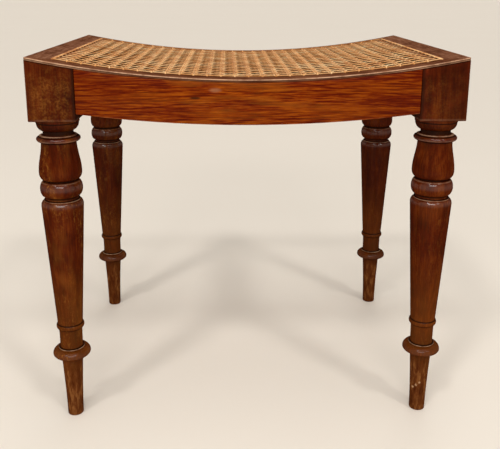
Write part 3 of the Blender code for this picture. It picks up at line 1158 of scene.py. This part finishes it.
@dataclass
class Rails:
    """The four rails, each a copy of its solid with eased arrises."""

    nodes: dict[str, Object]
    arris: float = 0.0007
    shoulder_arris: float = 0.0005

    def refined(self, node: str) -> BMesh:
        """The solid as a joined mesh with flat faces kept whole and long arrises eased.

        Args:
            node: The solid's name.

        Returns:
            The mesh.
        """
        bm = bmesh.new()
        bm.from_mesh(self.nodes[node].data)
        bmesh.ops.remove_doubles(bm, verts=bm.verts, dist=1e-6)
        bmesh.ops.dissolve_limit(bm, angle_limit=math.radians(0.05), verts=bm.verts, edges=bm.edges)
        low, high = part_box(node)
        size = high - low
        axis = 0 if size.x > size.y else 1
        reach = size[axis] / 2 - JOINERY.tenon + self.shoulder_arris
        arris(bm, self.arris, lambda edge: all(abs(vert.co[axis]) < reach for vert in edge.verts))
        face_out(bm)
        return bm

    def finish(self, name: str, grain: Grain, front: bool = False) -> Material:
        """The finish of a rail.

        Args:
            name: Which rail or rails.
            grain: The axis of its fibres.
            front: True if it has the front rail's marks.

        Returns:
            The material.
        """
        tones = srgb(72, 10, 0), srgb(110, 35, 0), srgb(146, 68, 6), srgb(176, 116, 72)
        return RailWood(
            Nodes(f"streaked_mahogany_{name}"), grain, *tones, broad=0.36, fine=1.0, cloud=0.12, pore=0.6,
            roughness=0.34, coat=0.11, coat_roughness=0.20, band=190.0, front=front,
        ).make()

    def build(self) -> None:
        """Makes the rails."""
        front, back = self.finish("front", Grain.X, True), self.finish("back", Grain.X)
        sides = self.finish("sides", Grain.Y)
        for (_, _, name), wood in zip(SEAT_SIDES, (front, back, sides, sides)):
            obj = to_object(f"tenoned_rail_{name}", self.refined(f"rail_{name}"))
            place_piece(obj, wood, "rail_mahogany", f"rail_{name}")


# Seat frame


@dataclass(frozen=True)
class FrameWood(Wood):
    """Greyed and worn mahogany with a pale upper bead, and a lower one darkened along its top by painted
    shade in the quirk between them. Grime and painted shade also darken the inside under the seat.
    """

    dusty: Colour = srgb(146, 98, 70)

    def make(self) -> Material:
        """Dresses a member.

        Returns:
            The material.
        """
        nodes = self.nodes
        colour, _, relief = self.base()
        dust = nodes.noise(44.0, 5.0, 0.7, 0.5).fade(0.40, 0.70)
        height = nodes.over_seat()
        edge_x, edge_y = nodes.rims(0.0012, 0.0003)
        broken = nodes.noise(75.0, 4.0, 0.7).fade(0.34, 0.62)
        # Painted shade in the quirk between the two beads.
        quirk = abs(height + 0.0017).fade(0.0009, 0.0003)
        upper = edge_x.most(edge_y) * height.fade(-0.0016, -0.0010)
        lower = height.fade(-0.0012, -0.0020) * abs(nodes.x).fade(0.13, 0.20)
        # The frame's inside under the seat: grime and painted shade, and no polish.
        shaded_inside = nodes.shaded_inside() * height.fade(-0.0006, -0.0030)
        colour = nodes.layers(
            colour, (dust * 0.30, self.dusty), ((upper + lower * 0.5) * (broken * 0.6 + 0.3), self.worn),
            (quirk * 0.55, self.grime_and_shade), (shaded_inside, self.grime_and_shade),
        )
        return self.polish(colour, (dust - 0.5) * 0.12 + self.roughness, shaded_inside, relief)


@dataclass
class SeatFrame:
    """Four mitred members with a moulded lip, bent to the dip and drilled for the cane."""

    stations: tuple[int, int] = (40, 8)
    bead: float = 0.0008
    chamfer: float = 0.0015
    lower_chamfer: float = 0.0008
    hole: float = 0.0046
    hole_steps: int = 12
    corner: float = 0.0026
    clear: float = 0.00002

    def section(self) -> list[Point2]:
        """The outline of a member, with two small beads and a quirk at its outer edge.

        Returns:
            Pairs of the distance in from the edge and the height over the seat's surface.
        """
        points = []
        steps = 5
        for middle in (-self.bead, -SEAT.lip + self.bead):
            for step in range(steps + 1):
                turn = math.pi * step / steps
                points.append((self.bead * (1 - math.sin(turn)), middle + self.bead * math.cos(turn)))
        body, width = JOINERY.setback + JOINERY.rail + SEAT.fit, SEAT.frame_width
        points += [(body, -SEAT.lip), (body, -SEAT.body), (width - self.lower_chamfer, -SEAT.body)]
        points += [(width, -SEAT.body + self.lower_chamfer), (width, -self.chamfer)]
        bulge = self.chamfer * 0.3
        return points + [(width - bulge, -bulge), (width - self.chamfer, 0.0), (body, 0.0)]

    def member(self, axis: int, sign: int) -> BMesh:
        """One member.

        Args:
            axis: The axis that it runs along.
            sign: The side that it lies on.

        Returns:
            The mesh.
        """
        length, aside = SEAT.half[axis] - SEAT.fit, SEAT.half[1 - axis]

        def place(s: float, inset: float, height: float) -> Point3:
            """The point of the member."""
            x, y = plan(axis, s * (length - inset), sign * (aside - inset))
            return x, y, SEAT.top(x) + height

        return sweep(self.section(), self.stations[axis], place)

    def drill(self, axis: int, sign: int) -> BMesh:
        """Upright pins that drill the holes of a member.

        Args:
            axis: The axis that it runs along.
            sign: The side that it lies on.

        Returns:
            The mesh.
        """
        bm = bmesh.new()
        for number in range(SEAT.holes[axis] + 1):
            made = bmesh.ops.create_cone(
                bm, cap_ends=True, segments=self.hole_steps, radius1=self.hole / 2,
                radius2=self.hole / 2, depth=3 * SEAT.body,
            )
            middle = SEAT.rim(axis, sign, SEAT.hole(axis, number), -SEAT.body / 2)
            bmesh.ops.translate(bm, verts=made["verts"], vec=middle)
        return bm

    def outline(self) -> BMesh:
        """A slab just wider than the seat, which rounds the frame's corners.

        Returns:
            The mesh.
        """
        x, y = (half + self.clear for half in SEAT.half)
        low, high = level(SEAT.height - SEAT.sag - 2 * SEAT.body), level(SEAT.height + SEAT.body)
        bm = prism((-x, x), (-y, y), low, high)
        arris(bm, self.corner, lambda edge: abs(edge.verts[0].co.z - edge.verts[1].co.z) > SEAT.body, 4)
        return bm

    def finish(self, name: str, grain: Grain, *tones: Colour) -> Material:
        """The finish of a member.

        Args:
            name: Which members.
            grain: The axis of its fibres.
            *tones: Its dark, middle and light tones.

        Returns:
            The material.
        """
        return FrameWood(
            Nodes(f"frame_mahogany_{name}"), grain, *tones, srgb(204, 160, 126), broad=0.4, fine=0.6,
            cloud=0.4, pore=0.4, roughness=0.46, coat=0.08, coat_roughness=0.3,
        ).make()

    def build(self) -> None:
        """Makes the four members."""
        woods = (
            self.finish("long", Grain.X, srgb(66, 30, 14), srgb(100, 56, 34), srgb(132, 86, 58)),
            self.finish("short", Grain.Y, srgb(76, 40, 24), srgb(114, 70, 48), srgb(146, 102, 76)),
        )
        for axis, sign, name in SEAT_SIDES:
            obj = to_object(f"drilled_frame_{name}", self.member(axis, sign))
            carve(obj, 40.0, (self.drill(axis, sign), Cut.REMOVE), (self.outline(), Cut.KEEP))
            place_piece(obj, woods[axis], "frame_mahogany", f"frame_{name}")


# Caning


@dataclass(frozen=True)
class Cane:
    """Golden split cane, glossy on its rind, with each strand a little different in tone and darkened
    towards its edges as painted shade.
    """

    dark: Colour = srgb(146, 76, 22)
    middle: Colour = srgb(236, 170, 102)
    light: Colour = srgb(255, 222, 166)
    stained: Colour = srgb(118, 66, 30)
    roughness: float = 0.55
    sheen: float = 0.04
    coat: float = 0.05

    def make(self) -> Material:
        """Dresses the cane.

        Returns:
            The material.
        """
        nodes = Nodes("golden_split_cane")
        fleck = nodes.noise(260.0, 3.0, 0.6)
        mixed = nodes.attribute("tone") * 0.32 + (nodes.noise(38.0, 4.0, 0.65, 0.4) - 0.5) * 1.1
        mixed = mixed + (fleck - 0.5) * 0.6 + 0.35
        # Painted shade: each strand darker towards its edges.
        edge = abs(nodes.attribute("across")).fade(0.55, 1.0)
        stain = nodes.noise(90.0, 2.0).fade(0.62, 0.80)
        colour = nodes.ramp(mixed, (0.10, self.dark), (0.48, self.middle), (0.85, self.light))
        colour = nodes.layers(colour, (edge * 0.55, self.dark), (stain * 0.35, self.stained))
        nodes.finish(colour, (fleck - 0.5) * 0.2 + self.roughness, self.sheen, self.coat, 0.25)
        nodes.bump(fleck, 0.00012)
        return nodes.material


class Weave:
    """A mesh that gathers flat strands of cane, whose faces fall a little to their edges."""

    edge_fall: float = 0.28

    def __init__(self, seed: int, tones: Point2 = (0.0, 1.0)) -> None:
        """Starts an empty mesh.

        Args:
            seed: Start of its random tones.
            tones: Darkest and lightest tone of a strand.
        """
        self.tones = tones
        self.bm = bmesh.new()
        self.tone = self.bm.verts.layers.float.new("tone")
        self.across = self.bm.verts.layers.float.new("across")
        self.random = random.Random(seed)

    def strand(
        self, line: Sequence[Vector], sides: Vector | Sequence[Vector], width: float, thickness: float
    ) -> None:
        """Adds one flat strand with a domed face.

        Args:
            line: Points along the middle of the strand.
            sides: Level unit vector across the strand, or one for each point.
            width: Its width.
            thickness: Its thickness.
        """
        sides = [sides] * len(line) if isinstance(sides, Vector) else sides
        befores, afters = [line[0], *line[:-1]], [*line[1:], line[-1]]
        ups = [(b - a).cross(side).normalized() for a, b, side in zip(befores, afters, sides)]
        if ups[len(ups) // 2].z < 0:
            ups = [-up for up in ups]
        count = len(line) - 1
        lower = bmesh.ops.create_grid(self.bm, x_segments=count, y_segments=2, size=1.0)["verts"]
        faces = list({face for vert in lower for face in vert.link_faces})
        drawn = bmesh.ops.extrude_face_region(self.bm, geom=faces, use_keep_orig=True)
        upper = [item for item in drawn["geom"] if isinstance(item, bmesh.types.BMVert)]
        darkest, lightest = self.tones
        tone = darkest + (lightest - darkest) * self.random.random()
        for sheet, face in ((lower, False), (upper, True)):
            for vert in sheet:
                station = round((vert.co.x + 1) / 2 * count)
                offset = vert.co.y
                dome = thickness * (0.5 - self.edge_fall * abs(offset)) if face else -thickness * 0.5
                vert[self.tone] = tone
                vert[self.across] = offset
                vert.co = line[station] + sides[station] * (offset * width / 2) + ups[station] * dome

    def finish(self, name: str) -> Object:
        """The gathered strands as one object."""
        bmesh.ops.recalc_face_normals(self.bm, faces=self.bm.faces)
        return to_object(name, self.bm, 50.0)


@dataclass
class Caning:
    """Six-way caning: pairs both ways, two sets of diagonals, binder, ties and loops below.

    Where there are two numbers, they are for the strands along X and along Y.
    """

    gaps: Point2 = (0.0016, 0.0013)
    widths: Point2 = (0.0025, 0.0016)
    diagonal_width: float = 0.0014
    thickness: float = 0.00030
    hole_gap: float = 0.0009
    wave: float = 0.00023
    diagonal_wave: float = 0.00030
    lift: float = 0.00062
    run_in: float = 0.011
    per_pitch: int = 6
    drop: float = 0.0095
    bend: float = 0.0016
    tail_steps: int = 4
    on_frame: float = 0.00018
    binder_width: float = 0.0048
    binder_thickness: float = 0.0009
    binder_bed: float = 0.000405
    binder_inset: float = 0.0006
    binder_swell: float = 0.00018
    binder_steps: int = 4
    tie_width: float = 0.0015
    tie_thickness: float = 0.00035
    tie_room: Point2 = (0.00045, 0.00032)
    tie_arch: float = 0.6
    tie_steps: int = 8
    loop_hang: float = 0.0036
    loop_start: float = 0.0030
    loop_share: float = 0.92
    loop_arch: float = 3.2
    loop_steps: int = 10

    def stations(self, axis: int) -> list[float]:
        """Where a strand of a pair has its points: at the strands that it crosses, and on the way.

        Args:
            axis: The axis that it runs along.

        Returns:
            Distances from the middle, in order.
        """
        pitch, gap, edge = SEAT.pitch(axis), self.gaps[1 - axis], SEAT.reach(axis) - self.bend
        offsets = (0.0, gap, pitch / 3, pitch * 2 / 3, pitch - gap)
        holes = [SEAT.hole(axis, number) for number in range(SEAT.holes[axis])]
        places = [hole + offset for hole in holes for offset in offsets]
        return [-edge] + [place for place in places if abs(place) < edge - self.bend / 2] + [edge]

    def swing(self, axis: int, run: float) -> float:
        """The over-and-under of one strand of a pair.

        Args:
            axis: The axis that it runs along.
            run: Distance from the middle of the seat.

        Returns:
            -1 at the first strand of each pair crossed and 1 at the second.
        """
        pitch, gap = SEAT.pitch(axis), self.gaps[1 - axis]
        run += SEAT.reach(axis)
        run -= round(run / pitch) * pitch
        if abs(run) <= gap:
            return math.sin(math.pi * run / (2 * gap))
        beyond = run - gap if run > 0 else pitch + run - gap
        return math.cos(math.pi * beyond / (pitch - 2 * gap))

    def rise(self, inside: float) -> float:
        """How far a strand has risen to the level of the weave, so far inside its hole."""
        share = min(1.0, max(0.0, inside / self.run_in))
        return share * share * (3 - 2 * share)

    def point(self, x: float, y: float, rise: float, wave: float) -> Vector:
        """A point of the weave, by its rise from the frame and its wave."""
        low = self.on_frame
        return Vector((x, y, SEAT.top(x) + low + (self.lift - low + wave) * rise))

    def tail(self, last: Vector, outward: Vector) -> list[Vector]:
        """The end of a strand, which turns down into its hole.

        Args:
            last: Point over the near edge of the hole.
            outward: Level unit vector towards the hole.

        Returns:
            The points after it.
        """
        points = []
        for step in range(1, self.tail_steps + 1):
            turn = math.pi / 2 * step / self.tail_steps
            down = Vector((0, 0, -self.bend * (1 - math.cos(turn))))
            points.append(last + outward * (self.bend * math.sin(turn)) + down)
        return points + [points[-1] + Vector((0, 0, -self.drop))]

    def tailed(self, line: list[Vector], first: Vector, last: Vector) -> list[Vector]:
        """A strand with its two ends turned down, outwards along two unit vectors."""
        return self.tail(line[0], first)[::-1] + line + self.tail(line[-1], last)

    def pairs(self, axis: int, name: str, seed: int, tones: Point2) -> Object:
        """The pairs of strands along one axis.

        Args:
            axis: The axis.
            name: Name of the piece.
            seed: Start of their random tones.
            tones: Darkest and lightest tone.

        Returns:
            The object.
        """
        weave = Weave(seed, tones)
        ahead, edge = direction(axis), SEAT.reach(axis) - self.bend
        for number in range(1, SEAT.holes[1 - axis]):
            for sign in (-1, 1):
                line = []
                for run in self.stations(axis):
                    rise = self.rise(edge - abs(run))
                    gap = self.hole_gap + (self.gaps[axis] - self.hole_gap) * rise
                    x, y = plan(axis, run, SEAT.hole(1 - axis, number) + sign * gap)
                    wave = (1 - 2 * axis) * sign * self.wave * self.swing(axis, run)
                    line.append(self.point(x, y, rise, wave))
                points = self.tailed(line, -ahead, ahead)
                weave.strand(points, direction(1 - axis), self.widths[axis], self.thickness)
        return weave.finish(name)

    def diagonals(self, slope: int, name: str) -> Object:
        """One set of diagonals, which pass half way between the crossings of the pairs.

        Args:
            slope: 1 if they run back and to the right, -1 if back and to the left.
            name: Name of the piece.

        Returns:
            The object.
        """
        weave = Weave(13 + slope)
        for number in range(2 - SEAT.holes[1], SEAT.holes[0]):
            line = self.diagonal(number - 0.5, slope)
            runs = [Vector((b.x - a.x, b.y - a.y, 0)).normalized() for a, b in zip(line, line[1:])]
            first, last = runs[0], runs[-1]
            line[0] += first * self.bend
            line[-1] -= last * self.bend
            extra = self.tail_steps + 1
            runs = [first] * extra + runs + [last] * (extra + 1)
            sides = [Vector((run.y, -run.x, 0)) for run in runs]
            weave.strand(self.tailed(line, -first, last), sides, self.diagonal_width, self.thickness)
        return weave.finish(name)

    def diagonal(self, offset: float, slope: int) -> list[Vector]:
        """Points of one diagonal, whose ends turn into the nearest holes.

        Args:
            offset: Spaces along the front minus spaces from the front.
            slope: 1 if it runs back and to the right, -1 if back and to the left.

        Returns:
            The points.
        """
        along, across = SEAT.holes
        first, last = max(0.0, -offset), min(across, along - offset)
        steps = max(4, round((last - first) * self.per_pitch))
        line = []
        for step in range(steps + 1):
            j = first + (last - first) * step / steps
            i = j + offset
            turn = 0.5 * max(0.0, 1 - (j - first)) ** 2
            i, here = (i + turn, j) if offset > 0 else (i, j + turn)
            turn = 0.5 * max(0.0, 1 - (last - j)) ** 2
            i, here = (i - turn, here) if last == across else (i, here - turn)
            rise = self.rise(min(j - first, last - j) * SEAT.pitch(1))
            wave = slope * self.diagonal_wave * math.cos(2 * math.pi * j)
            line.append(self.point(slope * SEAT.hole(0, i), SEAT.hole(1, here), rise, wave))
        return line

    def binder(self, axis: int, sign: int, name: str) -> Object:
        """One strip of binding cane, which swells a little between its ties.

        Args:
            axis: The axis that it runs along.
            sign: The side that it lies on.
            name: That side's name.

        Returns:
            The object.
        """
        weave = Weave(30 + axis * 2 + sign)
        half = SEAT.reach(axis) - self.binder_inset
        middle = self.binder_bed + self.binder_thickness / 2
        count = SEAT.holes[axis] * self.binder_steps
        line = []
        for step in range(count + 1):
            swell = self.binder_swell * math.sin(math.pi * step / self.binder_steps) ** 2
            line.append(SEAT.rim(axis, sign, -half + 2 * half * step / count, middle + swell))
        ahead = direction(axis)
        points = self.tailed(line, -ahead, ahead)
        weave.strand(points, direction(1 - axis), self.binder_width, self.binder_thickness)
        return weave.finish(f"cane_binder_{name}")

    def ties(self) -> Object:
        """The narrow loops that hold the binder down at each hole.

        Returns:
            The object.
        """
        weave = Weave(41)
        half = self.binder_width / 2 + self.tie_room[0]
        top = self.binder_bed + self.binder_thickness + self.tie_room[1]
        for axis, sign, _ in SEAT_SIDES:
            inward = direction(1 - axis) * -sign
            for number in range(1, SEAT.holes[axis]):
                hole = SEAT.rim(axis, sign, SEAT.hole(axis, number))
                line = []
                for step in range(self.tie_steps + 1):
                    turn = math.pi * (step / self.tie_steps - 0.5)
                    height = top * max(0.0, math.cos(turn)) ** self.tie_arch
                    line.append(hole + inward * (half * math.sin(turn)) + Vector((0, 0, height)))
                weave.strand(line, direction(axis), self.tie_width, self.tie_thickness)
        return weave.finish("cane_binder_ties")

    def loops(self) -> Object:
        """The strands that pass from hole to hole along the underside of the frame.

        Returns:
            The object.
        """
        weave = Weave(51)
        for axis, sign, _ in SEAT_SIDES:
            for number in range(SEAT.holes[axis]):
                line = []
                for step in range(self.loop_steps + 1):
                    share = step / self.loop_steps
                    run = SEAT.hole(axis, number + 0.5 + (share - 0.5) * self.loop_share)
                    hang = self.loop_hang * min(1.0, math.sin(math.pi * share) * self.loop_arch)
                    line.append(SEAT.rim(axis, sign, run, self.loop_start - SEAT.body - hang))
                weave.strand(line, direction(1 - axis), self.widths[1], self.thickness)
        return weave.finish("cane_loops_under_frame")

    def build(self) -> None:
        """Makes the caned seat."""
        cane = Cane().make()
        net = (
            self.pairs(1, "cane_pairs_front_to_back", 11, (-0.50, 0.30)),
            self.pairs(0, "cane_pairs_side_to_side", 12, (0.50, 1.40)),
            self.diagonals(1, "cane_diagonals_rising"), self.diagonals(-1, "cane_diagonals_falling"),
        )
        for piece in net:
            place_piece(piece, cane, "cane", "cane_panel")
        for axis, sign, name in SEAT_SIDES:
            place_piece(self.binder(axis, sign, name), cane, "cane", f"binder_{name}")
        for piece in (self.ties(), self.loops()):
            place_piece(piece, cane, "cane")


# Studio


@dataclass
class Studio:
    """The floor, the light and the camera.

    The softbox has a width, a height and a power. A far lamp has a name, its degrees to the right
    of the front and over the floor, its strength, and how many degrees wide it is.
    """

    floor_colour: Colour = srgb(236, 226, 212)
    floor_shade: Colour = srgb(228, 217, 202)
    floor_radius: float = 60.0
    backdrop: Colour = srgb(234, 221, 205)
    light: Colour = (1.0, 0.98, 0.95)
    strength: float = 0.36
    softbox: Point3 = (1.5, 0.44, 23.5)
    softbox_place: Point3 = (-0.12, -2.13, 1.45)
    softbox_target: Point3 = (0.0, 0.0, 0.28)
    far_lamps: tuple[tuple[str, float, float, float, float], ...] = (
        ("left", -34.0, 50.0, 0.60, 8.0), ("right", 38.0, 48.0, 0.50, 8.0),
        ("back", 170.0, 55.0, 0.35, 30.0), ("overhead", 10.0, 78.0, 0.60, 40.0),
    )
    lamp_distance: float = 6.0
    place: Point3 = (-0.02458, -0.97546, 0.53521)
    yaw: float = 0.03266
    pitch: float = 0.24789
    roll: float = 0.00387
    focal: float = 701.2
    principal: Point2 = (250.0, 165.0)
    image: Point2 = (500.0, 449.0)
    sensor: float = 36.0

    def floor(self) -> None:
        """A wide pale floor."""
        bm = bmesh.new()
        bmesh.ops.create_circle(bm, cap_ends=True, segments=96, radius=self.floor_radius)
        floor = to_object("pale_floor", bm, 60.0)
        nodes = Nodes("pale_floor")
        cloud = nodes.noise(1.6)
        colour = nodes.layers(self.floor_colour, ((cloud - 0.5) * 0.3 + 0.15, self.floor_shade))
        nodes.finish(colour, 0.8, 0.2)
        floor.data.materials.append(nodes.material)

    def lamp(self, name: str, kind: str, place: Point3, target: Point3, **settings: object) -> None:
        """Hangs a lamp and points it.

        Args:
            name: Its name.
            kind: Its type.
            place: Where it hangs.
            target: What it points at.
            **settings: Its power and size.
        """
        data = bpy.data.lights.new(name, kind)
        for key, value in settings.items():
            setattr(data, key, value)
        lamp = link(name, data)
        lamp.visible_camera = False
        lamp.location = place
        lamp.rotation_euler = (Vector(target) - Vector(place)).to_track_quat("-Z", "Y").to_euler()

    def lamps(self) -> None:
        """A softbox in front, and far lamps that light the whole floor evenly."""
        width, height, power = self.softbox
        self.lamp(
            "softbox", "AREA", self.softbox_place, self.softbox_target, shape="RECTANGLE", size=width,
            size_y=height, energy=power,
        )
        for name, azimuth, elevation, strength, angle in self.far_lamps:
            turn, rise = math.radians(azimuth), math.radians(elevation)
            out = self.lamp_distance * math.cos(rise)
            place = (math.sin(turn) * out, -math.cos(turn) * out, self.lamp_distance * math.sin(rise))
            self.lamp(name, "SUN", place, (0, 0, 0), energy=strength, angle=math.radians(angle))

    def world(self) -> None:
        """Even light from all round, where the camera and reflections see the backdrop's pale tone."""
        world = bpy.data.worlds.new("studio")
        bpy.context.scene.world = world
        world.use_nodes = True
        tree = Tree(world.node_tree)
        even = tree.add("ShaderNodeBackground", None, {"Color": self.light, "Strength": self.strength})
        pale = tree.add("ShaderNodeBackground", None, {"Color": self.backdrop})
        rays = tree.add("ShaderNodeLightPath").outputs
        seen, glossy, clear = (
            Value(tree, rays[name]) for name in ("Is Camera Ray", "Is Glossy Ray", "Is Transmission Ray")
        )
        inputs = {0: seen.most(glossy).most(clear), 1: even.outputs[0], 2: pale.outputs[0]}
        mixed = tree.add("ShaderNodeMixShader", None, inputs)
        tree.feed(world.node_tree.nodes["World Output"].inputs["Surface"], mixed.outputs[0])

    def camera(self) -> None:
        """The camera at the photograph's viewing angle."""
        data = bpy.data.cameras.new("camera")
        width, height = self.image
        data.sensor_width = self.sensor
        data.lens = self.focal / width * self.sensor
        data.shift_x = (width / 2 - self.principal[0]) / width
        data.shift_y = (self.principal[1] - height / 2) / width
        data.clip_start, data.clip_end = 0.01, self.floor_radius
        turns = ((-self.yaw, "Z"), (math.pi / 2 - self.pitch, "X"), (self.roll, "Z"))
        camera = link("camera", data)
        camera.matrix_world = Matrix.Translation(self.place)
        for turn, axis in turns:
            camera.matrix_world = camera.matrix_world @ Matrix.Rotation(turn, 4, axis)
        bpy.context.scene.camera = camera

    def build(self) -> None:
        """Makes the studio."""
        bpy.context.scene.view_settings.view_transform = "Standard"
        self.floor()
        self.world()
        self.lamps()
        self.camera()


def main() -> None:
    """Builds the stool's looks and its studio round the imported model."""
    logging.basicConfig(level=logging.INFO, format="%(message)s")
    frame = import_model()
    legs = [
        Leg(side, end, f"leg_{depth}_{hand}")
        for _, end, depth in SEAT_SIDES[:2] for _, side, hand in SEAT_SIDES[2:]
    ]
    leg_wood = legs[0].finish()
    for leg in legs:
        leg.build(leg_wood)
    Rails(frame["nodes"]).build()
    SeatFrame().build()
    Caning().build()
    Studio().build()


if __name__ == "__main__":
    main()
